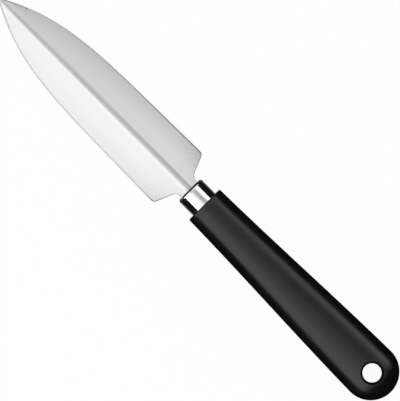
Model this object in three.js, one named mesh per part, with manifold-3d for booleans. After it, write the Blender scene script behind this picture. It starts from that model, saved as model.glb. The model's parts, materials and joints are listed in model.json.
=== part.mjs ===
// A decorating knife for zigzag cuts in fruit and vegetables: a blade of folded sheet steel, a polished
// ferrule and a moulded handle. Millimetres, +Z up on the side of the blade's ridge, the tip towards +X.

import * as THREE from "three";
import { mergeVertices } from "three/addons/utils/BufferGeometryUtils.js";
import Module from "manifold-3d";

// Lengths along the knife
const BLADE_LENGTH = 121.5; // tip to the lip of the ferrule
const FERRULE_LENGTH = 9.4; // lip to the shoulder of the handle
const HANDLE_LENGTH = 119.1; // shoulder to butt

// Blade: a sheet folded to a V and ground on its outer side
const BLADE_WIDTH = 31.5; // across both edges at the heel
const SHEET = 1.2;
const FOLD_ANGLE = 120; // degrees between the wings
const FOLD_RADIUS = 5; // outside of the fold
const GRIND_WIDTH = 9; // taper grind, in from each edge
const GRIND_CUT = 0.25; // share of the sheet that the grind takes at the edge
const BEVEL_WIDTH = 0.6;
const EDGE_LAND = 0.2; // thickness left at the cutting edge

// Blade outline, with lengths along the knife from the tip
const TIP_WIDTH = 0.8;
const TIP_SWELL_LENGTH = 21; // where the tip's curve aims for the full width
const TIP_FULLNESS = 0.8; // share of that width which it aims for
const BELLY_LENGTH = 76; // tip to the start of the straight edges
const BELLY_EASE = 37; // how gently the curve runs into them
const EDGE_FLARE = 0.55; // each edge runs out by this from belly to heel
const HEEL_LENGTH = 7.4; // shoulder corners to the lip
const SHOULDER_ROUND = 1.8;
const NECK_RUN = 2.9; // foot of the heel to the lip
const NECK_ROUND = 2.8;

// Ferrule: a drawn sleeve with its front lip turned in
const FERRULE_DIAMETER = 14.2;
const FERRULE_WALL = 0.8;
const LIP_ROUND = 1.5;
const LIP_TURN = 0.9; // how far the lip stands in from the bore
const SEAT_DEPTH = 1; // the sleeve is let into the handle's shoulder by this

// Tang, keyed into the moulding by notches in both its edges
const TANG_LENGTH = 52; // behind the shoulder of the handle
const TANG_TAPER = 0.8; // each side, from shoulder to end
const TANG_END_CHAMFER = 1.5;
const NOTCH_RADIUS = 1.8;
const NOTCH_DEPTHS = [16, 36]; // behind the shoulder

// Handle
const FRONT_WIDTH = 19.5;
const BUTT_WIDTH = 26;
const HANDLE_THICKNESS = 16.5;
const FRONT_ROUND = 0.7;
const HOLE_DIAMETER = 8.6; // at its waist, half way through the handle
const HOLE_DRAFT = 1; // its wall runs out by this from the waist to each rim
const HOLE_FROM_BUTT = 12.1;
const HOLE_ROUND = 0.3;

// Clearances
const FIT_GAP = 0.3; // between pieces that touch
const NECK_MARGIN = 0.6; // neck's edge to the lip, across the knife

// Shares that keep narrow sections and short corners in order
const CORNER_SHARE = 0.45; // of a side, the most that a round may take
const FOLD_SHARE = 0.5; // of half a section, the most that the fold may take
const GRIND_SHARE = 0.9; // of a wing, the most that the grind may take

// Finishes
const SATIN_STEEL = { color: 0xd6d7d8, roughness: 0.32, metalness: 1 };
const POLISHED_STEEL = { color: 0xe6e6e6, roughness: 0.08, metalness: 1 };
const BLACK_PLASTIC = { color: 0x161616, roughness: 0.42, metalness: 0 };

// Fineness of the surfaces
const SIDES = 56;
const ROUND_STEPS = 4;
const FOLD_STEPS = 3;
const GRIND_STEPS = 3;
const TIP_STEPS = 16;
const FLANK_STEPS = 12;
const BUTT_STEPS = 9;
const HOLE_SIDES = 32;
const NOTCH_SIDES = 20;

// Places along the knife, from the shoulder of the handle
const lipX = FERRULE_LENGTH;
const tipX = lipX + BLADE_LENGTH;
const heelX = lipX + HEEL_LENGTH;
const bellyX = tipX - BELLY_LENGTH;
const buttX = -HANDLE_LENGTH;

// Sizes that follow from the fits
const boreRadius = FERRULE_DIAMETER / 2 - FERRULE_WALL;
const lipRadius = boreRadius - LIP_TURN;
const neckHalf = lipRadius - NECK_MARGIN;
const spigotRadius = boreRadius - FIT_GAP;
const tangEndHalf = neckHalf - TANG_TAPER;
const edgeHalf = BLADE_WIDTH / 2;
const bellyHalf = edgeHalf - EDGE_FLARE;
const wingTilt = THREE.MathUtils.degToRad((180 - FOLD_ANGLE) / 2);
const ridgeZ = drop(neckHalf, SHEET) / 2; // centres the neck's V in the ferrule

const wasm = await Module();
wasm.setup();

function solid(geometry) {
  const bare = new THREE.BufferGeometry();
  bare.setAttribute("position", geometry.getAttribute("position"));
  bare.setIndex(geometry.getIndex());
  const merged = mergeVertices(bare);
  const vertProperties = new Float32Array(merged.getAttribute("position").array);
  const triVerts = new Uint32Array(merged.getIndex().array);
  return new wasm.Manifold(new wasm.Mesh({ numProp: 3, vertProperties, triVerts }));
}

function geometryOf(body) {
  const { vertProperties, triVerts } = body.getMesh();
  const geometry = new THREE.BufferGeometry();
  geometry.setAttribute("position", new THREE.BufferAttribute(vertProperties, 3));
  geometry.setIndex(new THREE.BufferAttribute(triVerts, 1));
  geometry.computeVertexNormals();
  return geometry;
}

// A closed body through rings of points. Each ring runs counter-clockwise seen from the last one, in the
// plane of the two axes named. The first ring may be a single point, a pole.
function loft(rings, [across, up]) {
  const count = rings[1].length;
  const faces = [];
  let lower = 0;
  for (const ring of rings.slice(0, -1)) {
    const upper = lower + ring.length;
    for (let j = 0; j < count; j++) {
      const k = (j + 1) % count;
      if (ring.length === 1) {
        faces.push(lower, upper + k, upper + j);
      } else {
        faces.push(lower + j, lower + k, upper + j);
        faces.push(upper + j, lower + k, upper + k);
      }
    }
    lower = upper;
  }
  const capOf = (ring) => {
    const contour = ring.map((point) => new THREE.Vector2(point[across], point[up]));
    return THREE.ShapeUtils.triangulateShape(contour, []);
  };
  if (rings[0].length > 1) {
    capOf(rings[0]).forEach(([a, b, c]) => faces.push(c, b, a));
  }
  capOf(rings.at(-1)).forEach(([a, b, c]) => faces.push(lower + a, lower + b, lower + c));
  const geometry = new THREE.BufferGeometry().setFromPoints(rings.flat());
  geometry.setIndex(faces);
  return solid(geometry);
}

// The two ends of a round that cuts the corner of a path and the curve between them
function roundCorner(before, corner, after, reach) {
  const start = corner.clone().lerp(before, Math.min(reach / corner.distanceTo(before), CORNER_SHARE));
  const end = corner.clone().lerp(after, Math.min(reach / corner.distanceTo(after), CORNER_SHARE));
  return new THREE.QuadraticBezierCurve(start, corner, end).getPoints(ROUND_STEPS);
}

// How far the V lies below its ridge at a distance from it, on a surface set into the sheet by inset
function drop(distance, inset) {
  const radius = FOLD_RADIUS - inset;
  const foldHalf = radius * Math.sin(wingTilt);
  if (distance < foldHalf) {
    return FOLD_RADIUS - Math.sqrt(radius ** 2 - distance ** 2);
  }
  return FOLD_RADIUS - radius * Math.cos(wingTilt) + (distance - foldHalf) * Math.tan(wingTilt);
}

// Share of the sheet that is left at a distance in from the cutting edge
function groundShare(distance) {
  const taper = (inside) => 1 - GRIND_CUT * Math.max(0, 1 - inside / GRIND_WIDTH) ** 2;
  if (distance >= BEVEL_WIDTH) {
    return taper(distance);
  }
  return THREE.MathUtils.lerp(EDGE_LAND / SHEET, taper(BEVEL_WIDTH), distance / BEVEL_WIDTH);
}

// Distances from the ridge, out to the edge, at which the outer side of a section is drawn
function outerStops(half) {
  const fold = Math.min(FOLD_RADIUS * Math.sin(wingTilt), FOLD_SHARE * half);
  const ground = Math.min(GRIND_WIDTH, GRIND_SHARE * (half - fold));
  const bevel = Math.min(BEVEL_WIDTH, ground / (2 * GRIND_STEPS));
  const stops = [];
  for (let i = 0; i <= FOLD_STEPS; i++) {
    stops.push((fold * i) / FOLD_STEPS);
  }
  for (let i = GRIND_STEPS; i > 0; i--) {
    stops.push(half - (ground * i) / GRIND_STEPS);
  }
  return [...stops, half - bevel, half];
}

function innerStops(half) {
  const fold = Math.min((FOLD_RADIUS - SHEET) * Math.sin(wingTilt), FOLD_SHARE * half);
  return [0, fold / 2, fold, half];
}

// One section of the folded sheet: half its width, the half width of the cutting edges there, and how far
// the section is grown all round for a clearance
function vSection(x, half, cutHalf, grown) {
  const inner = (distance) => -drop(distance, SHEET + grown);
  const outer = (distance) => {
    const full = -drop(distance, -grown) - inner(distance);
    return inner(distance) + full * groundShare(cutHalf - distance);
  };
  const row = (stops, height) => {
    const left = stops.slice(1).map((distance) => new THREE.Vector3(x, distance, ridgeZ + height(distance)));
    const right = stops.map((distance) => new THREE.Vector3(x, -distance, ridgeZ + height(distance)));
    return [...left.reverse(), ...right];
  };
  return [...row(outerStops(half), outer), ...row(innerStops(half), inner).reverse()];
}

// Half outline of the tang from its end to the shoulder of the handle
function tangOutline(endX, grown) {
  const chamferX = endX + TANG_END_CHAMFER;
  return [
    new THREE.Vector2(endX, tangEndHalf - TANG_END_CHAMFER + grown),
    new THREE.Vector2(chamferX, tangEndHalf + grown),
    new THREE.Vector2(0, neckHalf + grown),
  ];
}

// Half outline of the blade from the end of the straight neck to the tip
function bladeOutline() {
  const neck = new THREE.Vector2(0, neckHalf);
  const foot = new THREE.Vector2(lipX + NECK_RUN, neckHalf);
  const shoulder = new THREE.Vector2(heelX, edgeHalf);
  const belly = new THREE.Vector2(bellyX, bellyHalf);
  const slope = (edgeHalf - bellyHalf) / (bellyX - heelX);
  const tipCurve = new THREE.CubicBezierCurve(
    belly,
    new THREE.Vector2(bellyX + BELLY_EASE, bellyHalf - slope * BELLY_EASE),
    new THREE.Vector2(tipX - TIP_SWELL_LENGTH, bellyHalf * TIP_FULLNESS),
    new THREE.Vector2(tipX, TIP_WIDTH / 2),
  );
  return [
    ...roundCorner(neck, foot, shoulder, NECK_ROUND),
    ...roundCorner(foot, shoulder, belly, SHOULDER_ROUND),
    shoulder.clone().lerp(belly, 0.5),
    ...tipCurve.getPoints(TIP_STEPS),
  ];
}

// An upright round bar on each side of the tang at each notch
function notchBars(radius) {
  const bars = [];
  for (const depth of NOTCH_DEPTHS) {
    const half = THREE.MathUtils.lerp(neckHalf, tangEndHalf, depth / TANG_LENGTH);
    for (const side of [half, -half]) {
      const bar = new THREE.CylinderGeometry(radius, radius, HANDLE_THICKNESS / 2, NOTCH_SIDES);
      bars.push(solid(bar.rotateX(Math.PI / 2).translate(-depth, side, 0)));
    }
  }
  return bars.reduce((all, bar) => all.add(bar));
}

// The sheet from the tang's notched end through the neck to the ground tip
function bladeGeometry() {
  const stations = [...tangOutline(-TANG_LENGTH, 0), ...bladeOutline()];
  const rings = stations.map(({ x, y }) => vSection(x, y, x > heelX ? y : edgeHalf, 0));
  return geometryOf(loft(rings, ["y", "z"]).subtract(notchBars(NOTCH_RADIUS)));
}

// A revolved sleeve, drawn as its section from the seated rear end round the turned-in lip
function ferruleGeometry() {
  const outerRadius = FERRULE_DIAMETER / 2;
  const rearX = FIT_GAP - SEAT_DEPTH;
  const section = new THREE.Path();
  section.moveTo(boreRadius, rearX);
  section.lineTo(outerRadius, rearX);
  section.lineTo(outerRadius, lipX - LIP_ROUND);
  section.quadraticCurveTo(outerRadius, lipX, outerRadius - LIP_ROUND, lipX);
  section.lineTo(lipRadius, lipX);
  section.lineTo(lipRadius, lipX - FERRULE_WALL);
  section.lineTo(boreRadius, lipX - FERRULE_WALL);
  section.closePath();
  const sleeve = new THREE.LatheGeometry(section.getPoints(ROUND_STEPS), SIDES);
  return sleeve.rotateZ(-Math.PI / 2);
}

// Half width of the handle at a distance behind its shoulder, up to where the round butt starts
function flankHalf(depth) {
  const share = THREE.MathUtils.clamp(depth / (HANDLE_LENGTH - BUTT_WIDTH / 2), 0, 1);
  const eased = (share + THREE.MathUtils.smoothstep(share, 0, 1)) / 2;
  return THREE.MathUtils.lerp(FRONT_WIDTH, BUTT_WIDTH, eased) / 2;
}

function oval(x, halfWidth, halfThickness) {
  const points = [];
  for (let i = 0; i < SIDES; i++) {
    const turn = (2 * Math.PI * i) / SIDES;
    points.push(new THREE.Vector3(x, halfWidth * Math.cos(turn), halfThickness * Math.sin(turn)));
  }
  return points;
}

// Oval sections from the pole of the round butt to the flat shoulder
function handleBody() {
  const halfThickness = HANDLE_THICKNESS / 2;
  const buttRadius = BUTT_WIDTH / 2;
  const rings = [[new THREE.Vector3(buttX, 0, 0)]];
  for (let i = 1; i <= BUTT_STEPS; i++) {
    const turn = (Math.PI / 2) * (i / BUTT_STEPS);
    const x = buttX + buttRadius * (1 - Math.cos(turn));
    rings.push(oval(x, buttRadius * Math.sin(turn), halfThickness * Math.sin(turn)));
  }
  for (let i = FLANK_STEPS - 1; i >= 0; i--) {
    const depth = THREE.MathUtils.lerp(FRONT_ROUND, HANDLE_LENGTH - buttRadius, i / FLANK_STEPS);
    rings.push(oval(-depth, flankHalf(depth), halfThickness));
  }
  for (let i = 1; i <= ROUND_STEPS; i++) {
    const turn = (Math.PI / 2) * (i / ROUND_STEPS);
    const inset = FRONT_ROUND * (1 - Math.cos(turn));
    const x = FRONT_ROUND * (Math.sin(turn) - 1);
    rings.push(oval(x, flankHalf(FRONT_ROUND) - inset, halfThickness - inset));
  }
  return loft(rings, ["y", "z"]);
}

// Height of the handle's upper side above its middle, near the butt
function handleTop(x, y) {
  const buttRadius = BUTT_WIDTH / 2;
  const centreX = buttX + buttRadius;
  const half = flankHalf(-x);
  const along = Math.min(0, x - centreX) / buttRadius;
  return (HANDLE_THICKNESS / 2) * Math.sqrt(Math.max(0, 1 - along ** 2 - (y / half) ** 2));
}

// The hanging hole, drafted both ways from its waist, with its rims rounded along the handle's curved sides
function holeTool() {
  const centreX = buttX + HOLE_FROM_BUTT;
  const waistRadius = HOLE_DIAMETER / 2;
  const rimRadius = waistRadius + HOLE_DRAFT;
  const ring = (radius, heightOf) => {
    const points = [];
    for (let i = 0; i < HOLE_SIDES; i++) {
      const turn = (2 * Math.PI * i) / HOLE_SIDES;
      const toward = new THREE.Vector2(Math.cos(turn), Math.sin(turn));
      const place = toward.clone().multiplyScalar(radius);
      points.push(new THREE.Vector3(centreX + place.x, place.y, heightOf(toward)));
    }
    return points;
  };
  const above = (lift) => (toward) => {
    const edge = toward.clone().multiplyScalar(rimRadius + HOLE_ROUND);
    return handleTop(centreX + edge.x, edge.y) + lift;
  };
  const upper = [];
  for (let i = 0; i <= ROUND_STEPS; i++) {
    const turn = (Math.PI / 2) * (i / ROUND_STEPS);
    const flare = HOLE_ROUND * (1 - Math.cos(turn));
    upper.push(ring(rimRadius + flare, above(HOLE_ROUND * (Math.sin(turn) - 1))));
  }
  upper.push(ring(rimRadius + HOLE_ROUND, above(HANDLE_THICKNESS / 2))); // clear of the handle
  const waist = ring(waistRadius, () => 0);
  const lower = upper.map((points) => points.map(({ x, y, z }) => new THREE.Vector3(x, y, -z)));
  return loft([...lower.reverse(), waist, ...upper], ["x", "y"]);
}

// A round bar on the knife's axis that reaches equally far before and behind the handle's shoulder
function axisBar(radius, reach) {
  return solid(new THREE.CylinderGeometry(radius, radius, 2 * reach, SIDES).rotateZ(Math.PI / 2));
}

// The moulding: body and spigot, less the seat of the ferrule, the space of the tang and the hanging hole
function handleGeometry() {
  const seat = axisBar(FERRULE_DIAMETER / 2 + FIT_GAP, SEAT_DEPTH);
  const spigot = axisBar(spigotRadius, lipX - FERRULE_WALL - FIT_GAP);
  const mouth = new THREE.Vector2(lipX, neckHalf + FIT_GAP);
  const stations = [...tangOutline(-TANG_LENGTH - FIT_GAP, FIT_GAP), mouth];
  const rings = stations.map(({ x, y }) => vSection(x, y, edgeHalf, FIT_GAP));
  const pocket = loft(rings, ["y", "z"]).subtract(notchBars(NOTCH_RADIUS - FIT_GAP));
  const moulding = handleBody().subtract(seat).add(spigot);
  return geometryOf(moulding.subtract(pocket).subtract(holeTool()));
}

function piece(name, geometry, finish) {
  const mesh = new THREE.Mesh(geometry, new THREE.MeshStandardMaterial(finish));
  mesh.name = name;
  return mesh;
}

// Laid down on the handle's underside or the cutting edges, whichever is lower, and centred
const edgeDepth = drop(edgeHalf, SHEET) - ridgeZ;
const knife = new THREE.Group();
knife.position.set(-(tipX + buttX) / 2, 0, Math.max(HANDLE_THICKNESS / 2, edgeDepth));
knife.add(piece("blade", bladeGeometry(), SATIN_STEEL));
knife.add(piece("ferrule", ferruleGeometry(), POLISHED_STEEL));
knife.add(piece("handle", handleGeometry(), BLACK_PLASTIC));

export default knife;
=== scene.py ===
"""A decorating knife for zigzag cuts in fruit: folded steel blade, polished ferrule, moulded handle."""

import json
import math

import bmesh
import bpy
import numpy as np
from bpy.props import FloatProperty, FloatVectorProperty, PointerProperty
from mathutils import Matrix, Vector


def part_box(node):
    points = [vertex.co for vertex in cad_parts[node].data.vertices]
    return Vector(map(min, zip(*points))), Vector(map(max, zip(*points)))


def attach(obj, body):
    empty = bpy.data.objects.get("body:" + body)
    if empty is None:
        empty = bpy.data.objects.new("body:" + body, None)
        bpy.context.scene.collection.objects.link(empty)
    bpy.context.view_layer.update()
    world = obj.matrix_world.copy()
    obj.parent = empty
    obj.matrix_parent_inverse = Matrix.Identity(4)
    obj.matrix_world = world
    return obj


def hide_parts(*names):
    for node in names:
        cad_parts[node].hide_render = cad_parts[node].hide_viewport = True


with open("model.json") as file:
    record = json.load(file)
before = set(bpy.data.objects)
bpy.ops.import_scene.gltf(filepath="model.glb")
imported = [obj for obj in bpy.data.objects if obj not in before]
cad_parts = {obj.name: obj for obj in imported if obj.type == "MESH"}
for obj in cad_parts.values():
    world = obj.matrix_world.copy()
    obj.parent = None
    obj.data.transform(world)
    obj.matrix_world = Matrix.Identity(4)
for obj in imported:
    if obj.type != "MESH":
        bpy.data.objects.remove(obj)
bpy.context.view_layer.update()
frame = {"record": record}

bl_info = {
    "name": "Decorating knife",
    "version": (1, 0, 0),
    "blender": (4, 5, 0),
    "location": "3D View > Sidebar > Knife",
    "description": "Dresses the solids of a decorating knife with fine surfaces and real finishes",
    "category": "Add Mesh",
}

MM = 0.001

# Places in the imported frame, in metres: the flat shoulder of the handle carries the record's mount
SHOULDER = next(m for m in frame["record"]["mounts"] if m["name"] == "front_shoulder")["pos_m"]
SHOULDER_X = SHOULDER[0]
AXIS_Z = SHOULDER[2]
TANG_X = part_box("blade")[0].x
TIP_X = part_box("blade")[1].x
LIP_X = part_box("ferrule")[1].x
FERRULE_REAR_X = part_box("ferrule")[0].x
BUTT_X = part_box("handle")[0].x
FERRULE_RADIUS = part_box("ferrule")[1].y
BUTT_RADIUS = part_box("handle")[1].y
HALF_THICKNESS = (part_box("handle")[1].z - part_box("handle")[0].z) / 2
RIDGE_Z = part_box("blade")[1].z

# Shares that keep narrow sections of the blade in order
FOLD_SHARE = 0.5  # of half a section, the most that the fold may take
GRIND_SHARE = 0.9  # of a wing, the most that the grind may take
BEVEL_SHARE = 1 / 6  # of the grind, the most that the bevel may take
LEAST_FACING = 0.3  # keeps the rim's round narrow where the outline runs across the knife

# Points on each stretch of the blade's outline and of half its section
TANG_POINTS = 16
NECK_POINTS = 14
HEEL_POINTS = 12
SHOULDER_POINTS = 12
EDGE_POINTS = 30
TIP_POINTS = 110
FOLD_POINTS = 13
WING_POINTS = 6
GRIND_POINTS = 16
BAND_POINTS = 6

# Points on each stretch of the ferrule's section, and round it
REAR_POINTS = 5
SLEEVE_POINTS = 10
LIP_POINTS = 8
MOUTH_POINTS = 6
SLEEVE_TURNS = 160

# Points round the handle and on each stretch along it, and of the butt round its hole
HANDLE_TURNS = 192
POCKET_END_STEPS = 14
FRONT_POINTS = 7
BODY_POINTS = 61
FLANK_POINTS = 36
BUTT_POINTS = 121
WALL_POINTS = 8
RIM_POINTS = 10
CROWN_POINTS = 42

# Points on the floor, the cards and the tent, and how far round the dome and the tent reach
FLOOR_TURNS = 64
SKIRT_POINTS = 49
DOME_TURNS = 96
DOME_ROWS = 14
DOME_RISE = math.radians(89)  # just short of the pole
TENT_POINTS = 161
TENT_TILT = 80  # degrees to either side of overhead

# Angles past which the meeting of two faces is a crease
BLADE_CREASE = math.radians(22)
SLEEVE_CREASE = math.radians(30)
HANDLE_CREASE = math.radians(30)
NO_CREASE = math.pi

WELD = 0.001 * MM  # points closer than this are one
SLOPE_STEP = 0.05 * MM  # over which a slope is measured
NOISE_LOW = 0.3  # a noise lies mostly between these two
NOISE_HIGH = 0.7
CLIP_END = 20  # how far the camera sees, in metres


def linear(code):
    """The linear colour of an sRGB hex value."""
    srgb = np.array([int(code[i : i + 2], 16) for i in (0, 2, 4)]) / 255
    curve = np.where(srgb > 0.04045, ((srgb + 0.055) / 1.055) ** 2.4, srgb / 12.92)
    return tuple(float(value) for value in curve)


def length(name, text, millimetres):
    """A size in the sidebar, with its default given in millimetres."""
    return FloatProperty(name=name, description=text, default=millimetres * MM, unit="LENGTH", precision=5)


def share(name, text, default):
    """A plain number from 0 to 1 in the sidebar."""
    return FloatProperty(name=name, description=text, default=default, min=0, max=1, subtype="FACTOR")


def angle(name, text, degrees):
    """An angle in the sidebar, with its default given in degrees."""
    return FloatProperty(name=name, description=text, default=math.radians(degrees), subtype="ANGLE")


def colour(name, text, code):
    """A colour in the sidebar, with its default given as an sRGB hex value."""
    return FloatVectorProperty(
        name=name,
        description=text,
        default=linear(code),
        subtype="COLOR",
        min=0,
        max=1,
    )


def strength(name, text, default):
    """A light's radiance in the sidebar, where 1 shows as white."""
    return FloatProperty(name=name, description=text, default=default, min=0)


class BladeSettings(bpy.types.PropertyGroup):
    """Sizes and finish of the folded blade."""

    width: length("Width", "Across both edges at the shoulders", 31.5)
    sheet: length("Sheet", "Thickness of the folded sheet", 1.2)
    fold: angle("Fold", "Angle between the wings", 120)
    fold_radius: length("Fold radius", "Outside radius of the fold", 5)
    grind_width: length("Grind width", "How far the taper grind runs in from each edge", 9)
    grind_cut: share("Grind cut", "Share of the sheet that the grind takes at the edge", 0.25)
    bevel_width: length("Bevel width", "Width of the cutting bevel", 0.6)
    edge_land: length("Edge land", "Thickness left at the cutting edge", 0.2)
    edge_round: length("Edge round", "Radius on the deburred rim of heel and neck", 0.18)
    tip_width: length("Tip width", "Width of the blunted tip", 0.8)
    tip_swell: length("Tip swell", "Where the curve of the tip aims for the full width", 21)
    tip_fullness: share("Tip fullness", "Share of the full width which that curve aims for", 0.8)
    belly: length("Belly", "Tip to the start of the straight edges", 76)
    belly_ease: length("Belly ease", "How gently the curve runs into the straight edges", 37)
    edge_flare: length("Edge flare", "How far each edge runs out from belly to shoulder", 0.55)
    heel: length("Heel", "Shoulders to the ferrule's lip", 7.4)
    shoulder_round: length("Shoulder round", "Reach of the round on each shoulder", 1.8)
    neck_run: length("Neck run", "Foot of the heel to the ferrule's lip", 2.9)
    neck_round: length("Neck round", "Reach of the round at the foot of the heel", 2.8)
    neck_width: length("Neck width", "Width of the sheet where it enters the ferrule", 9.6)
    tang_taper: length("Tang taper", "How far each side of the tang runs in towards its end", 0.8)
    tang_chamfer: length("Tang chamfer", "Chamfer on the tang's end", 1.5)
    brush_pitch: length("Brush pitch", "Spacing of the grinding lines, coarse enough to show", 0.3)
    brush_length: length("Brush length", "Length of the grinding lines", 36)
    brush_depth: length("Brush depth", "Depth of the grinding lines", 0.02)
    relief: share("Relief", "Share of that depth that shows in the gloss", 0.03)
    cloud_size: length("Cloud size", "Size of the soft clouds in the grind", 18)
    cloud_share: share("Cloud share", "Share of the clouds in the grind's unevenness", 0.3)
    steel: colour("Steel", "Colour of the ground stainless sheet", "d0d0d0")
    tone: share("Tone", "How far the unevenness lightens and darkens the steel", 0.03)
    roughness: share("Roughness", "Roughness of the satin grind", 0.26)
    roughness_spread: share("Roughness spread", "How far the unevenness changes that", 0.02)
    bevel_roughness: share("Bevel roughness", "Roughness of the sharpened bevels", 0.38)
    bevel_blend: share("Bevel blend", "Share of the bevel over which it gives way to the grind", 0.1)


class FerruleSettings(bpy.types.PropertyGroup):
    """Sizes and finish of the polished sleeve."""

    wall: length("Wall", "Thickness of the drawn sleeve", 0.8)
    lip_slope: length("Lip slope", "How far back along the sleeve its sloping lip starts", 0.88)
    lip_fall: length("Lip fall", "How far the sloping lip falls towards the front", 0.82)
    lip_round: length("Lip round", "Reach of the rounds on the sloping lip", 0.15)
    lip_turn: length("Lip turn", "How far the lip stands in from the bore", 0.9)
    edge_round: length("Edge round", "Reach of the rounds on the rear edge and inside the lip", 0.15)
    line_pitch: length("Line pitch", "Spacing of the polishing lines, coarse enough to show", 0.25)
    line_length: length("Line length", "Length of the polishing lines round the sleeve", 15)
    line_depth: length("Line depth", "Depth of the polishing lines", 0.01)
    relief: share("Relief", "Share of that depth that shows in the gloss", 0.03)
    steel: colour("Steel", "Colour of the polished stainless steel", "ebebeb")
    tone: share("Tone", "How far the polishing lines lighten and darken the steel", 0.02)
    roughness: share("Roughness", "Roughness of the mirror polish", 0.065)
    roughness_spread: share("Roughness spread", "How far the polishing lines change that", 0.025)


class HandleSettings(bpy.types.PropertyGroup):
    """Sizes and finish of the moulded handle."""

    front_width: length("Front width", "Width across the flat shoulder", 19.5)
    front_round: length("Front round", "Radius on the edge of the shoulder", 0.7)
    hole: length("Hole", "Diameter of the hanging hole at its waist", 8.6)
    hole_draft: length("Hole draft", "How far the hole's wall runs out from its waist to each rim", 1)
    hole_from_butt: length("Hole from butt", "Centre of the hanging hole to the end of the handle", 12.1)
    hole_round: length("Hole round", "Reach of the round on the rims of the hole", 0.15)
    patch: length("Patch", "Length of the butt that is drawn round the hole", 30)
    seat_depth: length("Seat depth", "How far the ferrule is let into the shoulder", 1)
    gap: length("Gap", "Clearance between pieces that touch", 0.3)
    grain: length("Grain", "Size of the moulded grain, coarse enough to show", 0.45)
    grain_depth: length("Grain depth", "Depth of the moulded grain", 0.02)
    relief: share("Relief", "Share of that depth that shows in the gloss", 0.15)
    parting: length("Parting", "Width of the mould's parting line", 0.25)
    parting_height: FloatProperty(
        name="Parting height",
        description="Height of the parting line, in depths of the grain",
        default=2,
        min=0,
    )
    flow_size: length("Flow size", "Size of the flow marks", 9)
    plastic: colour("Plastic", "Colour of the moulded polypropylene", "0a0a0a")
    tone: share("Tone", "How far flow marks lighten and darken the plastic", 0.25)
    roughness: share("Roughness", "Roughness of the satin moulding", 0.27)
    roughness_spread: share("Roughness spread", "How far flow marks change that", 0.03)
    ior: FloatProperty(
        name="IOR",
        description="Refractive index of polypropylene",
        default=1.49,
        min=1,
    )


class StageSettings(bpy.types.PropertyGroup):
    """Camera, floor and light."""

    picture_height: length("Picture height", "Height of the picture at the knife", 180.45)
    centre_from_tip: length("Centre from tip", "Tip to the middle of the picture, along the knife", 128.3)
    centre_aside: length("Centre aside", "Middle of the picture to the knife's axis", 0.07)
    knife_turn: angle("Knife turn", "Slope of the knife in the picture", 45.1)
    lens: FloatProperty(
        name="Lens",
        description="Focal length of the camera in millimetres",
        default=800,
        min=1,
        unit="CAMERA",
    )
    floor: colour("Floor", "Colour of the floor", "ffffff")
    floor_glow: share("Floor glow", "Share of the floor's white that shadows can't take", 0.94)
    floor_radius: length("Floor radius", "Radius of the floor", 6400)
    floor_drop: length("Floor drop", "How far the floor lies below the knife", 0.05)
    tent_radius: length("Tent radius", "Radius of the light tent", 900)
    tent_rear: length("Tent rear", "How far the light tent reaches behind the middle", 480)
    tent_front: length("Tent front", "How far the light tent reaches in front of the middle", 620)
    tent_blend: length("Tent blend", "Length over which one piece's light gives way to the next", 4)
    key: strength("Key", "Radiance of the tent on the left of the handle", 1.6)
    top: strength("Top", "Radiance of the tent over the handle", 1.12)
    gap: strength("Gap", "Radiance of the dim stretch on the right of overhead", 0.42)
    rim: strength("Rim", "Radiance of the tent on the right of the handle", 1.6)
    blade_key: strength("Blade key", "Radiance of the tent on the left of the blade", 1.5)
    blade_gap: strength("Blade gap", "Radiance of the dim stretch over the blade", 0.69)
    blade_side: strength("Blade side", "Radiance between that stretch and the right", 0.94)
    blade_rim: strength("Blade rim", "Radiance of the tent on the right of the blade", 1.03)
    dome: strength("Dome", "Radiance of the room in the gloss", 0.56)
    dome_radius: length("Dome radius", "Radius of the grey dome", 1300)
    card_width: length("Card width", "Width of the black card on the floor", 2400)
    card_lift: length("Card lift", "Height of the black card over the floor", 0.1)
    card_aside: length("Card aside", "Low black walls to the knife's axis", 100)
    card_height: length("Card height", "Height of the low black walls", 56)
    lip_margin: length("Lip margin", "How far the low black walls run past the ferrule's lip", 1)
    window_start: length("Window start", "Ferrule's lip to the window in the black card", 7)
    window_reach: length("Window reach", "How far that window runs past the tip", 30)
    window_left: length("Window left", "How far that window runs to the left at the heel", 16.6)
    window_left_far: length("Window left far", "How far it runs to the left beyond the tip", 40)
    window_right: length("Window right", "How far it runs to the right at the heel", 16.6)
    window_right_far: length("Window right far", "How far it runs to the right beyond the tip", 18)
    butt_card: length("Butt card", "Distance of the black card behind the butt", 70)
    butt_card_width: length("Butt card width", "Width of that card", 210)
    butt_card_height: length("Butt card height", "Height of that card", 110)
    skirt_radius: length("Skirt radius", "Radius of the low black skirt round the blade's end", 1200)
    skirt_height: length("Skirt height", "Height of that skirt", 240)
    felt: strength("Felt", "What the black felt of the cards still throws back", 0.008)
    rim_card: length("Rim card", "How far the grey card below the ferrule runs to each side", 16.5)
    rim_card_glow: strength("Rim card glow", "Radiance of that card, a soft rim in the ferrule", 0.2)
    ambient: strength("Ambient", "Radiance of the room's soft fill", 0.85)


# Stops of the light tent: degrees from overhead towards the left, and the setting of the radiance there
OVER_HANDLE = {-66: "rim", -49: "rim", -37: "gap", -22: "gap", 16: "top", 38: "key", 66: "key"}
OVER_FERRULE = {-66: "rim", -48: "rim", -27: "gap", -17: "gap", 7: "top", 38: "key", 66: "key"}
OVER_BLADE = {
    -67: "blade_rim",
    -58: "blade_rim",
    -46: "blade_side",
    -28: "blade_side",
    -6: "blade_gap",
    4: "blade_gap",
    26: "blade_key",
    80: "blade_key",
}

# Shapes


def bezier(points, count):
    """Points on a Bezier curve: the control points, each weighted by its Bernstein polynomial."""
    points = np.asarray(points, float)
    degree = len(points) - 1
    u = np.linspace(0, 1, count)[:, None]
    weights = [math.comb(degree, i) * u**i * (1 - u) ** (degree - i) for i in range(degree + 1)]
    return np.hstack(weights) @ points


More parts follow.
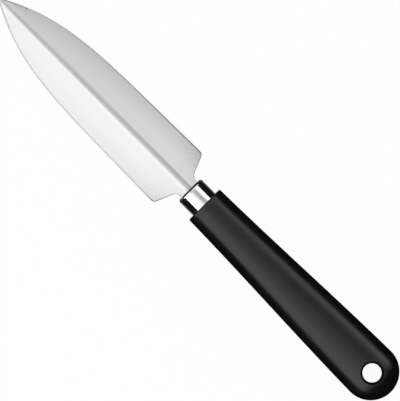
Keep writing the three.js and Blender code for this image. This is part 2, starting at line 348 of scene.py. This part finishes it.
def round_corner(before, corner, after, reach, count):
    """A corner of a path, rounded: a quadratic curve that starts and ends at reach from the corner."""
    before, corner, after = (np.asarray(p, float) for p in (before, corner, after))
    start = corner + (before - corner) * reach / np.linalg.norm(before - corner)
    end = corner + (after - corner) * reach / np.linalg.norm(after - corner)
    return bezier([start, corner, end], count)


def straight(start, end, count):
    """Evenly spaced points between two ends, without the ends."""
    u = np.linspace(0, 1, count + 2)[1:-1, None]
    return np.asarray(start, float) * (1 - u) + np.asarray(end, float) * u


def circle(count):
    """Evenly spaced points on a level circle of radius 1 round the origin."""
    turn = np.linspace(0, 2 * math.pi, count, endpoint=False)
    return np.stack([np.cos(turn), np.sin(turn), np.zeros(count)], axis=-1)


def grid_faces(rows, columns, wrap):
    """Quads of a grid of points, row by row, joined from the last column to the first if wrap is set."""
    across = np.arange(columns if wrap else columns - 1)
    along = np.arange(rows - 1)[:, None] * columns
    after = (across + 1) % columns
    corners = [along + across, along + after, along + columns + after, along + columns + across]
    return np.stack(corners, axis=-1).reshape(-1, 4)


def new_piece(name, points, faces, crease):
    """A mesh object at the origin with smooth faces, and creases where faces meet at a larger angle."""
    mesh = bpy.data.meshes.new(name)
    mesh.from_pydata(points.tolist(), [], faces.tolist())
    mesh.polygons.foreach_set("use_smooth", np.ones(len(mesh.polygons), bool))
    mesh.set_sharp_from_angle(angle=crease)
    mesh.update()
    piece = bpy.data.objects.new(name, mesh)
    bpy.context.scene.collection.objects.link(piece)
    return piece


def mark_points(piece, name, values):
    """A number for each point of a piece, which its material reads."""
    attribute = piece.data.attributes.new(name, "FLOAT", "POINT")
    attribute.data.foreach_set("value", values.astype(np.float32))


def stand_in(piece, node, material):
    """The piece takes the place of its CAD node, rides on the knife and wears its finish."""
    piece.data.materials.append(material)
    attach(piece, "root")
    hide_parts(node)


def v_drop(s, distance, inset):
    """Depth of the V below its ridge: a round fold, then straight wings, on a surface set in by inset."""
    tilt = (math.pi - s.fold) / 2
    radius = s.fold_radius - inset
    fold_half = radius * math.sin(tilt)
    near = np.minimum(distance, fold_half)
    arc = s.fold_radius - np.sqrt(radius**2 - near**2)
    return arc + (distance - near) * math.tan(tilt)


def blade_outline(s):
    """Half outline of the sheet from the tang's end to the tip: rows of x, half width, edge half width.

    The tang tapers, the neck is straight, the heel is a straight line rounded at its foot and shoulder,
    the edges flare slightly, and the tip is one cubic curve. The last column is where the cutting edges
    lie or would lie.
    """
    edge_half = s.width / 2
    belly_half = edge_half - s.edge_flare
    neck_half = s.neck_width / 2
    tang_half = neck_half - s.tang_taper
    end = (TANG_X, tang_half - s.tang_chamfer)
    chamfer = (TANG_X + s.tang_chamfer, tang_half)
    root = (SHOULDER_X, neck_half)
    lip = (LIP_X, neck_half)
    foot = (LIP_X + s.neck_run, neck_half)
    shoulder = (LIP_X + s.heel, edge_half)
    belly = (TIP_X - s.belly, belly_half)
    slope = s.edge_flare / (belly[0] - shoulder[0])
    ease = (belly[0] + s.belly_ease, belly_half - slope * s.belly_ease)
    swell = (TIP_X - s.tip_swell, belly_half * s.tip_fullness)
    tip = (TIP_X, s.tip_width / 2)
    neck_arc = round_corner(lip, foot, shoulder, s.neck_round, NECK_POINTS)
    shoulder_arc = round_corner(foot, shoulder, belly, s.shoulder_round, SHOULDER_POINTS)
    heel = np.vstack(
        [
            [end, chamfer],
            straight(chamfer, root, TANG_POINTS),
            [root, lip],
            neck_arc,
            straight(neck_arc[-1], shoulder_arc[0], HEEL_POINTS),
            shoulder_arc,
        ]
    )
    tip_arc = bezier([belly, ease, swell, tip], TIP_POINTS)
    edge = np.vstack([straight(shoulder_arc[-1], belly, EDGE_POINTS), tip_arc])
    cut = np.concatenate([np.full(len(heel), edge_half), edge[:, 1]])
    return np.column_stack([np.vstack([heel, edge]), cut])


def ground_share(s, inside):
    """Share of the sheet left inside the edge: a quadratic taper, then a straight bevel to the land."""
    taper = 1 - s.grind_cut * np.clip(1 - inside / s.grind_width, 0, 1) ** 2
    at_bevel = 1 - s.grind_cut * (1 - s.bevel_width / s.grind_width) ** 2
    land = s.edge_land / s.sheet
    bevel = land + (at_bevel - land) * inside / s.bevel_width
    return np.where(inside < s.bevel_width, bevel, taper)


def blade_stops(s, x, half, dull, bend):
    """Distances from the ridge at which each section is drawn, closest in the fold and at the edge.

    The last stretch is the cutting bevel or, where dull is 1, the round of the deburred rim: its radius
    over the cosine of the outline's slope.
    """
    fold = np.minimum(s.fold_radius * math.sin((math.pi - s.fold) / 2), FOLD_SHARE * half)
    ground = np.minimum(s.grind_width, GRIND_SHARE * (half - fold))
    bevel = np.minimum(s.bevel_width, BEVEL_SHARE * ground)
    run = np.gradient(x, axis=0)
    rise = np.gradient(half, axis=0)
    facing = np.maximum(run / np.hypot(run, rise), LEAST_FACING)
    band = bevel * (1 - dull) + s.edge_round / facing * dull
    in_fold = fold * np.linspace(0, 1, FOLD_POINTS)
    on_wing = fold + (half - ground - fold) * np.linspace(0, 1, WING_POINTS)[1:]
    in_grind = half - ground + (ground - band) * np.linspace(0, 1, GRIND_POINTS)[1:]
    in_band = half - band * (1 - np.sin(bend))
    return np.hstack([in_fold, on_wing, in_grind, in_band])


def make_blade(s):
    """The folded sheet: V sections along the half outline, ground thinner outside towards both edges.

    A section's outer side is its inner side plus the sheet's share that the grind leaves. Each ring runs
    over the outer side and back under the inner side.
    """
    x, half, cut = (column[:, None] for column in blade_outline(s).T)
    dull = np.clip((cut - half) / s.bevel_width, 0, 1)
    bend = np.linspace(0, math.pi / 2, BAND_POINTS)[1:]
    out = blade_stops(s, x, half, dull, bend)
    inner = -v_drop(s, out, s.sheet)
    outer = inner + (v_drop(s, out, s.sheet) - v_drop(s, out, 0)) * ground_share(s, cut - out)
    outer[:, -len(bend) :] -= dull * s.edge_round * (1 - np.cos(bend))
    across = np.hstack([out[:, ::-1], -out[:, 1:]])
    over = np.hstack([outer[:, ::-1], outer[:, 1:]])
    under = np.hstack([inner[:, ::-1], inner[:, 1:]])
    ring_y = np.hstack([across, across[:, ::-1]])
    ring_z = RIDGE_Z + np.hstack([over, under[:, ::-1]])
    rows, columns = ring_y.shape
    points = np.stack([np.broadcast_to(x, ring_y.shape), ring_y, ring_z], axis=-1).reshape(-1, 3)
    i = np.arange(columns // 2 - 1)
    end_cap = np.stack([i, columns - 1 - i, columns - 2 - i, i + 1], axis=-1)
    tip_cap = end_cap[:, ::-1] + (rows - 1) * columns
    faces = np.vstack([grid_faces(rows, columns, True), end_cap, tip_cap])
    piece = new_piece("blade_sheet", points, faces, BLADE_CREASE)
    inside = np.hstack([(cut - out)[:, ::-1], (cut - out)[:, 1:]])
    mark_points(piece, "from_edge", np.hstack([inside, inside[:, ::-1]]).ravel())
    return piece


def ovals(x, half_width, half_thickness, turns):
    """Rings of points round the knife's axis, an ellipse at each x."""
    turn = np.linspace(0, 2 * math.pi, turns, endpoint=False)
    y = half_width[:, None] * np.cos(turn)
    z = AXIS_Z + half_thickness[:, None] * np.sin(turn)
    return np.stack([np.broadcast_to(x[:, None], y.shape), y, z], axis=-1)


def make_ferrule(s):
    """The sleeve: its closed section turned about the axis, with the front lip sloped and turned in."""
    bore = FERRULE_RADIUS - s.wall
    lip = bore - s.lip_turn
    inner = LIP_X - s.wall
    rear = (FERRULE_REAR_X, bore)
    heel = (FERRULE_REAR_X, FERRULE_RADIUS)
    crown = (LIP_X - s.lip_slope, FERRULE_RADIUS)
    brow = (LIP_X, FERRULE_RADIUS - s.lip_fall)
    mouth = (LIP_X, lip)
    section = np.vstack(
        [
            [rear],
            round_corner(rear, heel, crown, s.edge_round, REAR_POINTS),
            straight(heel, crown, SLEEVE_POINTS),
            round_corner(heel, crown, brow, s.lip_round, LIP_POINTS),
            round_corner(crown, brow, mouth, s.lip_round, LIP_POINTS),
            round_corner(brow, mouth, (inner, lip), s.edge_round, MOUTH_POINTS),
            [(inner, lip), (inner, bore)],
        ]
    )
    x, radius = section.T
    points = ovals(x, radius, radius, SLEEVE_TURNS)
    rows, columns = points.shape[:2]
    ring = np.arange(columns)
    after = (ring + 1) % columns
    last = (rows - 1) * columns
    seam = np.stack([last + ring, last + after, after, ring], axis=-1)
    faces = np.vstack([grid_faces(rows, columns, True), seam])
    return new_piece("ferrule_sleeve", points.reshape(-1, 3), faces, SLEEVE_CREASE)


def flank_half(s, depth):
    """Half width of the handle behind its shoulder: half a straight taper and half a smooth step."""
    u = np.clip(depth / (SHOULDER_X - BUTT_X - BUTT_RADIUS), 0, 1)
    eased = (u + u * u * (3 - 2 * u)) / 2
    return s.front_width / 2 + (BUTT_RADIUS - s.front_width / 2) * eased


def handle_top(s, x, y):
    """Height of the handle above its middle: an oval section, closed by a quarter of an ellipsoid."""
    past = np.minimum(0, x - BUTT_X - BUTT_RADIUS) / BUTT_RADIUS
    aside = y / flank_half(s, SHOULDER_X - x)
    return HALF_THICKNESS * np.sqrt(np.clip(1 - past**2 - aside**2, 0, None))


def tang_rings(s, blade, front):
    """The pocket of the tang, grown by the gap: V rings with as many points as the handle's ovals.

    A ring runs over the upper side, down one end, back along the lower side and up the other end.
    """
    neck_half = blade.neck_width / 2 + s.gap
    tang_half = neck_half - blade.tang_taper
    x = np.array([TANG_X - s.gap, SHOULDER_X, front])
    half = np.array([tang_half, neck_half, neck_half])
    upper = HANDLE_TURNS // 2 + 1
    lower = upper - 2 * POCKET_END_STEPS
    end = np.ones(POCKET_END_STEPS - 1)
    aside = np.concatenate([np.linspace(1, -1, upper), -end, np.linspace(-1, 1, lower), end])
    down = np.linspace(0, 1, POCKET_END_STEPS + 1)[1:-1]
    depth = np.concatenate([np.zeros(upper), down, np.ones(lower), down[::-1]])
    y = half[:, None] * aside
    top = -v_drop(blade, np.abs(y), -s.gap)
    bottom = -v_drop(blade, np.abs(y), blade.sheet + s.gap)
    z = RIDGE_Z + top + (bottom - top) * depth
    return np.stack([np.broadcast_to(x[:, None], y.shape), y, z], axis=-1)


def handle_rings(s, blade, ferrule):
    """The moulding ahead of its butt, in rings: tang's pocket, spigot, seat, shoulder and flanks."""
    spigot = FERRULE_RADIUS - ferrule.wall - s.gap
    spigot_front = LIP_X - ferrule.wall - s.gap
    seat = FERRULE_RADIUS + s.gap
    seat_x = SHOULDER_X - s.seat_depth
    circles = [
        (spigot_front, spigot - s.gap, spigot - s.gap),
        (spigot_front - s.gap, spigot, spigot),
        (seat_x, spigot, spigot),
        (seat_x, seat, seat),
        (SHOULDER_X, seat, seat),
    ]
    bend = np.linspace(math.pi / 2, 0, FRONT_POINTS)
    inset = s.front_round * (1 - np.cos(bend))
    front_x = SHOULDER_X + s.front_round * (np.sin(bend) - 1)
    front_half = flank_half(s, s.front_round) - inset
    front = np.column_stack([front_x, front_half, HALF_THICKNESS - inset])
    body_x = np.linspace(SHOULDER_X - s.front_round, BUTT_X + s.patch, BODY_POINTS)[1:]
    body_half = flank_half(s, SHOULDER_X - body_x)
    body = np.column_stack([body_x, body_half, np.full(len(body_x), HALF_THICKNESS)])
    x, half_width, half_thickness = np.vstack([circles, front, body]).T
    pocket = tang_rings(s, blade, spigot_front)
    return np.concatenate([pocket, ovals(x, half_width, half_thickness, HANDLE_TURNS)])


def butt_outline(s, ring):
    """Outline of the butt in plan: half of the last ring, a flank, the round end and the other flank."""
    flank_x = np.linspace(BUTT_X + s.patch, BUTT_X + BUTT_RADIUS, FLANK_POINTS)[1:]
    flank = np.stack([flank_x, -flank_half(s, SHOULDER_X - flank_x)], axis=-1)
    bend = np.linspace(-math.pi / 2, math.pi / 2, BUTT_POINTS)[1:-1]
    end = np.stack([BUTT_X + BUTT_RADIUS * (1 - np.cos(bend)), BUTT_RADIUS * np.sin(bend)], axis=-1)
    return np.vstack([ring[: HANDLE_TURNS // 2 + 1, :2], flank, end, flank[::-1] * (1, -1)])


def butt_rows(s, outline):
    """The butt, drawn along rays from the hole's centre to the outline, in rows from below to above.

    The crown lies at the handle's height, with its rows closer together towards the outline. The rims are
    quadratic curves that leave the crown along its slope and run into the wall, which narrows to a waist
    half way through. The lower half mirrors the upper one.
    """
    centre = np.array([BUTT_X + s.hole_from_butt, 0])
    ray = outline - centre
    toward = ray / np.linalg.norm(ray, axis=1, keepdims=True)
    waist = s.hole / 2
    bore = waist + s.hole_draft
    rim = centre + toward * (bore + s.hole_round)
    beyond = centre + toward * (bore + s.hole_round + SLOPE_STEP)
    rim_z = handle_top(s, *rim.T)
    slope = (handle_top(s, *beyond.T) - rim_z) / SLOPE_STEP
    start = np.column_stack([rim, rim_z])
    corner = np.column_stack([centre + toward * bore, rim_z - slope * s.hole_round])
    middle = np.column_stack([centre + toward * waist, np.zeros(len(toward))])
    down = middle - corner
    end = corner + down * s.hole_round / np.linalg.norm(down, axis=1, keepdims=True)
    wall_rows = middle + (end - middle) * np.linspace(0, 1, WALL_POINTS)[:-1, None, None]
    u = np.linspace(0, 1, RIM_POINTS)[:, None, None]
    rim_rows = (1 - u) ** 2 * end + 2 * u * (1 - u) * corner + u**2 * start
    v = np.sin(np.linspace(0, math.pi / 2, CROWN_POINTS))[1:, None, None]
    plan = rim + (outline - rim) * v
    crown_rows = np.concatenate([plan, handle_top(s, plan[..., :1], plan[..., 1:])], axis=-1)
    upper = np.concatenate([wall_rows, rim_rows, crown_rows])
    lower = upper[:0:-1] * (1, 1, -1)
    return np.concatenate([lower, upper]) + (0, 0, AXIS_Z)


def make_handle(s, blade, ferrule):
    """The moulding: rings from the tang's pocket to the butt, which is drawn round its hanging hole."""
    body = handle_rings(s, blade, ferrule)
    butt = butt_rows(s, butt_outline(s, body[-1]))
    points = np.vstack([body.reshape(-1, 3), butt.reshape(-1, 3)])
    body_faces = grid_faces(*body.shape[:2], True)
    butt_faces = grid_faces(*butt.shape[:2], True) + body.shape[0] * body.shape[1]
    piece = new_piece("handle_moulding", points, np.vstack([body_faces, butt_faces]), HANDLE_CREASE)
    close_seams(piece, HANDLE_CREASE)
    return piece


def close_seams(piece, crease):
    """Welds points that meet, closes what is still open and turns all faces outwards."""
    work = bmesh.new()
    work.from_mesh(piece.data)
    bmesh.ops.remove_doubles(work, verts=work.verts, dist=WELD)
    bmesh.ops.holes_fill(work, edges=[edge for edge in work.edges if edge.is_boundary])
    bmesh.ops.recalc_face_normals(work, faces=work.faces)
    work.to_mesh(piece.data)
    work.free()
    piece.data.set_sharp_from_angle(angle=crease)


# Finishes


def add_node(material, kind, inputs=None, **settings):
    """A node in a material, with its settings, and inputs that are values or other nodes' outputs."""
    node = material.node_tree.nodes.new(kind)
    for name, value in settings.items():
        setattr(node, name, value)
    for name, value in (inputs or {}).items():
        if isinstance(value, bpy.types.NodeSocket):
            material.node_tree.links.new(value, node.inputs[name])
        else:
            node.inputs[name].default_value = value
    return node


def new_material(name):
    """An empty node material and the surface input of its output."""
    material = bpy.data.materials.new(name)
    material.use_nodes = True
    material.node_tree.nodes.clear()
    output = add_node(material, "ShaderNodeOutputMaterial")
    return material, output.inputs["Surface"]


def ground_steel(s):
    """Stainless sheet ground along the blade: bright metal, softly blurred, lines from tip to heel."""
    material, surface = new_material("stainless steel, satin ground")
    place = add_node(material, "ShaderNodeTexCoord").outputs["Object"]
    # Real grinding lines are too fine for the picture, so they are drawn coarser
    along = (1 / s.brush_length, 1 / s.brush_pitch, 1 / s.brush_pitch)
    drawn = add_node(material, "ShaderNodeMapping", {"Vector": place, "Scale": along}).outputs["Vector"]
    lines = add_node(
        material,
        "ShaderNodeTexNoise",
        {"Vector": drawn, "Scale": 1, "Detail": 3},
    ).outputs["Fac"]
    clouds = add_node(
        material,
        "ShaderNodeTexNoise",
        {"Vector": place, "Scale": 1 / s.cloud_size, "Detail": 2},
    ).outputs["Fac"]
    faded = add_node(
        material,
        "ShaderNodeMath",
        {0: lines, 1: 1 - s.cloud_share},
        operation="MULTIPLY",
    ).outputs["Value"]
    uneven = add_node(
        material,
        "ShaderNodeMath",
        {0: clouds, 1: s.cloud_share, 2: faded},
        operation="MULTIPLY_ADD",
    ).outputs["Value"]
    noise = {"Value": uneven, "From Min": NOISE_LOW, "From Max": NOISE_HIGH}
    shade = add_node(
        material,
        "ShaderNodeMapRange",
        {**noise, "To Min": 1 - s.tone, "To Max": 1 + s.tone},
    ).outputs["Result"]
    steel = add_node(material, "ShaderNodeHueSaturation", {"Color": (*s.steel, 1), "Value": shade})
    smoothest = s.roughness - s.roughness_spread
    roughest = s.roughness + s.roughness_spread
    grind = add_node(
        material,
        "ShaderNodeMapRange",
        {**noise, "To Min": smoothest, "To Max": roughest},
    ).outputs["Result"]
    rough = add_node(
        material,
        "ShaderNodeMapRange",
        {
            "Value": add_node(material, "ShaderNodeAttribute", attribute_name="from_edge").outputs["Fac"],
            "From Min": s.bevel_width * (1 - s.bevel_blend),
            "From Max": s.bevel_width,
            "To Min": s.bevel_roughness,
            "To Max": grind,
        },
    ).outputs["Result"]
    bump = add_node(
        material,
        "ShaderNodeBump",
        {"Height": lines, "Strength": s.relief, "Distance": s.brush_depth},
    ).outputs["Normal"]
    shader = add_node(
        material,
        "ShaderNodeBsdfPrincipled",
        {"Base Color": steel.outputs["Color"], "Metallic": 1, "Roughness": rough, "Normal": bump},
    )
    material.node_tree.links.new(shader.outputs["BSDF"], surface)
    return material


def polished_steel(s):
    """Stainless sleeve turned and polished to a mirror: sharp reflections, with hair lines round it."""
    material, surface = new_material("stainless steel, mirror polished")
    place = add_node(material, "ShaderNodeTexCoord").outputs["Object"]
    # Real polishing lines are too fine for the picture, so they are drawn coarser
    around = (1 / s.line_pitch, 1 / s.line_length, 1 / s.line_length)
    drawn = add_node(material, "ShaderNodeMapping", {"Vector": place, "Scale": around}).outputs["Vector"]
    lines = add_node(
        material,
        "ShaderNodeTexNoise",
        {"Vector": drawn, "Scale": 1, "Detail": 2},
    ).outputs["Fac"]
    noise = {"Value": lines, "From Min": NOISE_LOW, "From Max": NOISE_HIGH}
    shade = add_node(
        material,
        "ShaderNodeMapRange",
        {**noise, "To Min": 1 - s.tone, "To Max": 1 + s.tone},
    ).outputs["Result"]
    steel = add_node(material, "ShaderNodeHueSaturation", {"Color": (*s.steel, 1), "Value": shade})
    smoothest = s.roughness - s.roughness_spread
    roughest = s.roughness + s.roughness_spread
    rough = add_node(
        material,
        "ShaderNodeMapRange",
        {**noise, "To Min": smoothest, "To Max": roughest},
    ).outputs["Result"]
    bump = add_node(
        material,
        "ShaderNodeBump",
        {"Height": lines, "Strength": s.relief, "Distance": s.line_depth},
    ).outputs["Normal"]
    shader = add_node(
        material,
        "ShaderNodeBsdfPrincipled",
        {"Base Color": steel.outputs["Color"], "Metallic": 1, "Roughness": rough, "Normal": bump},
    )
    material.node_tree.links.new(shader.outputs["BSDF"], surface)
    return material


def moulded_plastic(s):
    """Polypropylene from an eroded mould: satin black, fine grain, a hair line where the mould parts."""
    material, surface = new_material("polypropylene, moulded satin black")
    place = add_node(material, "ShaderNodeTexCoord").outputs["Object"]
    # A real moulded grain is too fine for the picture, so it is drawn coarser
    grain = add_node(
        material,
        "ShaderNodeTexNoise",
        {"Vector": place, "Scale": 1 / s.grain, "Detail": 2},
    ).outputs["Fac"]
    flow = add_node(
        material,
        "ShaderNodeTexNoise",
        {"Vector": place, "Scale": 1 / s.flow_size, "Detail": 4},
    ).outputs["Fac"]
    parting = add_node(
        material,
        "ShaderNodeMath",
        {
            0: add_node(material, "ShaderNodeSeparateXYZ", {"Vector": place}).outputs["Z"],
            1: AXIS_Z,
            2: s.parting / 2,
        },
        operation="COMPARE",
    ).outputs["Value"]
    height = add_node(
        material,
        "ShaderNodeMath",
        {0: parting, 1: s.parting_height, 2: grain},
        operation="MULTIPLY_ADD",
    ).outputs["Value"]
    noise = {"Value": flow, "From Min": NOISE_LOW, "From Max": NOISE_HIGH}
    shade = add_node(
        material,
        "ShaderNodeMapRange",
        {**noise, "To Min": 1 - s.tone, "To Max": 1 + s.tone},
    ).outputs["Result"]
    plastic = add_node(material, "ShaderNodeHueSaturation", {"Color": (*s.plastic, 1), "Value": shade})
    smoothest = s.roughness - s.roughness_spread
    roughest = s.roughness + s.roughness_spread
    rough = add_node(
        material,
        "ShaderNodeMapRange",
        {**noise, "To Min": smoothest, "To Max": roughest},
    ).outputs["Result"]
    bump = add_node(
        material,
        "ShaderNodeBump",
        {"Height": height, "Strength": s.relief, "Distance": s.grain_depth},
    ).outputs["Normal"]
    shader = add_node(
        material,
        "ShaderNodeBsdfPrincipled",
        {"Base Color": plastic.outputs["Color"], "IOR": s.ior, "Roughness": rough, "Normal": bump},
    )
    material.node_tree.links.new(shader.outputs["BSDF"], surface)
    return material


def white_floor(s):
    """Matt white board that shows white behind the knife and in its gloss, and takes its soft shadow."""
    material, surface = new_material("board, matt white")
    white = (*s.floor, 1)
    matt = add_node(material, "ShaderNodeBsdfDiffuse", {"Color": white}).outputs["BSDF"]
    glow = add_node(material, "ShaderNodeEmission", {"Color": white, "Strength": 1}).outputs["Emission"]
    path = add_node(material, "ShaderNodeLightPath").outputs
    seen = path["Is Camera Ray"]
    for ray in ("Is Glossy Ray", "Is Transmission Ray"):
        seen = add_node(
            material,
            "ShaderNodeMath",
            {0: seen, 1: path[ray]},
            operation="MAXIMUM",
        ).outputs["Value"]
    part = add_node(
        material,
        "ShaderNodeMath",
        {0: seen, 1: s.floor_glow},
        operation="MULTIPLY",
    ).outputs["Value"]
    mix = add_node(material, "ShaderNodeMixShader", {0: part, 1: matt, 2: glow})
    material.node_tree.links.new(mix.outputs["Shader"], surface)
    return material


def glow_card(name, radiance):
    """A card of one even brightness."""
    material, surface = new_material(name)
    glow = add_node(material, "ShaderNodeEmission", {"Strength": radiance})
    material.node_tree.links.new(glow.outputs["Emission"], surface)
    return material


def lit_fabric():
    """Translucent white fabric with lamps behind it: a soft glow that changes gently over the tent."""
    material, surface = new_material("fabric, lit from behind")
    radiance = add_node(material, "ShaderNodeAttribute", attribute_name="radiance").outputs["Fac"]
    glow = add_node(material, "ShaderNodeEmission", {"Strength": radiance})
    material.node_tree.links.new(glow.outputs["Emission"], surface)
    return material


# Stage


def make_floor(s):
    """A wide disc under the knife."""
    points = circle(FLOOR_TURNS) * s.floor_radius - (0, 0, s.floor_drop)
    floor = new_piece("floor", points, np.arange(FLOOR_TURNS)[None], NO_CREASE)
    floor.data.materials.append(white_floor(s))


def level_rectangle(size_x, size_y, centre):
    """The corners of a level rectangle."""
    corners = np.array([(-0.5, -0.5, 0), (0.5, -0.5, 0), (0.5, 0.5, 0), (-0.5, 0.5, 0)])
    return corners * (size_x, size_y, 0) + centre


def upright_rectangle(start, end, height):
    """The corners of a wall on the floor between two points in plan."""
    return np.array([(*start, 0), (*end, 0), (*end, height), (*start, height)])


def black_cards(s):
    """Black cards: one on the floor, low walls on both sides of the handle, and one behind the butt.

    The card on the floor has a wedge-shaped window for the blade.
    """
    near = LIP_X + s.window_start
    far = TIP_X + s.window_reach
    window = [
        (near, -s.window_right, s.card_lift),
        (far, -s.window_right_far, s.card_lift),
        (far, s.window_left_far, s.card_lift),
        (near, s.window_left, s.card_lift),
    ]
    rear = BUTT_X - s.card_aside
    front = LIP_X + s.lip_margin
    butt = BUTT_X - s.butt_card
    butt_half = s.butt_card_width / 2
    frame_points = [level_rectangle(s.card_width, s.card_width, (0, 0, s.card_lift)), window]
    wall_points = [
        upright_rectangle((rear, s.card_aside), (front, s.card_aside), s.card_height),
        upright_rectangle((rear, -s.card_aside), (front, -s.card_aside), s.card_height),
        upright_rectangle((butt, -butt_half), (butt, butt_half), s.butt_card_height),
    ]
    points = np.vstack(frame_points + wall_points)
    frame_faces = grid_faces(2, 4, True)
    wall_faces = np.arange(len(points)).reshape(-1, 4)[len(frame_points) :]
    return new_piece("black_cards", points, np.vstack([frame_faces, wall_faces]), NO_CREASE)


def black_skirt(s):
    """A low wall in a half circle round the blade's end."""
    turn = np.linspace(-math.pi / 2, math.pi / 2, SKIRT_POINTS)
    foot = s.skirt_radius * np.stack([np.cos(turn), np.sin(turn), np.zeros(SKIRT_POINTS)], axis=-1)
    points = np.vstack([foot, foot + (0, 0, s.skirt_height)])
    return new_piece("black_skirt", points, grid_faces(2, SKIRT_POINTS, False), NO_CREASE)


def rim_card(s):
    """A grey card on the black one, below the ferrule, that its flanks show as a soft rim."""
    centre = ((LIP_X + SHOULDER_X) / 2, 0, 2 * s.card_lift)
    points = level_rectangle(LIP_X - SHOULDER_X, 2 * s.rim_card, centre)
    return new_piece("rim_card", points, np.arange(4)[None], NO_CREASE)


def grey_dome(s):
    """Half a sphere over the stage: circles that narrow by the cosine of a tilt and rise by its sine."""
    tilt = np.linspace(0, DOME_RISE, DOME_ROWS)[:, None, None]
    points = s.dome_radius * (circle(DOME_TURNS) * np.cos(tilt) + np.array((0, 0, 1)) * np.sin(tilt))
    faces = grid_faces(DOME_ROWS, DOME_TURNS, True)
    return new_piece("grey_dome", points.reshape(-1, 3), faces, NO_CREASE)


def make_cards(s):
    """The cards and the dome, which only reflections see."""
    felt = glow_card("felt, black", s.felt)
    grey = glow_card("card, grey", s.rim_card_glow)
    room = glow_card("dome, grey", s.dome)
    cards = {black_cards(s): felt, black_skirt(s): felt, rim_card(s): grey, grey_dome(s): room}
    for card, material in cards.items():
        card.data.materials.append(material)
        card.visible_camera = False
        card.visible_diffuse = False
        card.visible_transmission = False
        card.visible_shadow = False


def make_tent(s):
    """A light tent: a half tube along the knife, whose radiance runs straight from stop to stop round it.

    The handle, the ferrule and the blade have a row of stops each, which give way to each other on either
    side of the ferrule.
    """
    tilt = np.linspace(-TENT_TILT, TENT_TILT, TENT_POINTS)
    lean = np.radians(tilt)
    arc = s.tent_radius * np.stack([np.zeros(TENT_POINTS), np.sin(lean), np.cos(lean)], axis=-1)
    rear = SHOULDER_X
    front = LIP_X + s.tent_blend
    places = np.array([-s.tent_rear, rear - s.tent_blend, rear, front, front + s.tent_blend, s.tent_front])
    points = arc + (0, 0, AXIS_Z) + places[:, None, None] * (1, 0, 0)
    rows = []
    for stops in (OVER_HANDLE, OVER_FERRULE, OVER_BLADE):
        levels = [getattr(s, name) for name in stops.values()]
        rows.append(np.interp(tilt, list(stops), levels, left=s.dome, right=s.dome))
    faces = grid_faces(len(places), TENT_POINTS, False)
    tent = new_piece("light_tent", points.reshape(-1, 3), faces, NO_CREASE)
    mark_points(tent, "radiance", np.repeat(rows, 2, axis=0).ravel())
    tent.data.materials.append(lit_fabric())
    tent.visible_camera = False


def make_camera(s):
    """A long lens straight above the knife, turned so that the tip points to the upper left."""
    data = bpy.data.cameras.new("camera")
    data.lens = s.lens
    data.clip_end = CLIP_END
    camera = bpy.data.objects.new("camera", data)
    distance = s.picture_height * data.lens / data.sensor_width
    camera.location = (TIP_X - s.centre_from_tip, s.centre_aside, AXIS_Z + distance)
    camera.rotation_euler = (0, 0, s.knife_turn - math.pi)
    bpy.context.scene.collection.objects.link(camera)
    bpy.context.scene.camera = camera


def make_world(s):
    """An even soft fill."""
    world = bpy.data.worlds.new("fill")
    world.use_nodes = True
    background = world.node_tree.nodes["Background"]
    background.inputs["Color"].default_value = (1, 1, 1, 1)
    background.inputs["Strength"].default_value = s.ambient
    bpy.context.scene.world = world


# Operators and panel


class KNIFE_OT_blade(bpy.types.Operator):
    """Make the folded blade"""

    bl_idname = "knife.blade"
    bl_label = "Blade"

    def execute(self, context):
        s = context.scene.knife_blade
        stand_in(make_blade(s), "blade", ground_steel(s))
        return {"FINISHED"}


class KNIFE_OT_ferrule(bpy.types.Operator):
    """Make the polished ferrule"""

    bl_idname = "knife.ferrule"
    bl_label = "Ferrule"

    def execute(self, context):
        s = context.scene.knife_ferrule
        stand_in(make_ferrule(s), "ferrule", polished_steel(s))
        return {"FINISHED"}


class KNIFE_OT_handle(bpy.types.Operator):
    """Make the moulded handle"""

    bl_idname = "knife.handle"
    bl_label = "Handle"

    def execute(self, context):
        scene = context.scene
        piece = make_handle(scene.knife_handle, scene.knife_blade, scene.knife_ferrule)
        stand_in(piece, "handle", moulded_plastic(scene.knife_handle))
        return {"FINISHED"}


class KNIFE_OT_stage(bpy.types.Operator):
    """Set up the camera, floor and light"""

    bl_idname = "knife.stage"
    bl_label = "Stage"

    def execute(self, context):
        s = context.scene.knife_stage
        context.scene.view_settings.view_transform = "Standard"
        make_camera(s)
        make_world(s)
        make_floor(s)
        make_cards(s)
        make_tent(s)
        return {"FINISHED"}


class KNIFE_PT_panel(bpy.types.Panel):
    """The knife's operators and settings in the sidebar"""

    bl_label = "Decorating knife"
    bl_idname = "KNIFE_PT_panel"
    bl_space_type = "VIEW_3D"
    bl_region_type = "UI"
    bl_category = "Knife"

    def draw(self, context):
        for name in ("blade", "ferrule", "handle", "stage"):
            box = self.layout.box()
            box.operator("knife." + name)
            settings = getattr(context.scene, "knife_" + name)
            for key in settings.bl_rna.properties.keys():
                if key not in {"rna_type", "name"}:
                    box.prop(settings, key)


SETTINGS = {
    "knife_blade": BladeSettings,
    "knife_ferrule": FerruleSettings,
    "knife_handle": HandleSettings,
    "knife_stage": StageSettings,
}
CLASSES = (
    *SETTINGS.values(),
    KNIFE_OT_blade,
    KNIFE_OT_ferrule,
    KNIFE_OT_handle,
    KNIFE_OT_stage,
    KNIFE_PT_panel,
)


def register():
    """Adds the classes, and the settings to every scene."""
    for cls in CLASSES:
        bpy.utils.register_class(cls)
    for name, cls in SETTINGS.items():
        setattr(bpy.types.Scene, name, PointerProperty(type=cls))


def unregister():
    """Takes away what register adds."""
    for name in SETTINGS:
        delattr(bpy.types.Scene, name)
    for cls in reversed(CLASSES):
        bpy.utils.unregister_class(cls)


def main():
    """Builds the stage and the knife."""
    register()
    bpy.ops.knife.stage()
    bpy.ops.knife.blade()
    bpy.ops.knife.ferrule()
    bpy.ops.knife.handle()


if __name__ == "__main__":
    main()
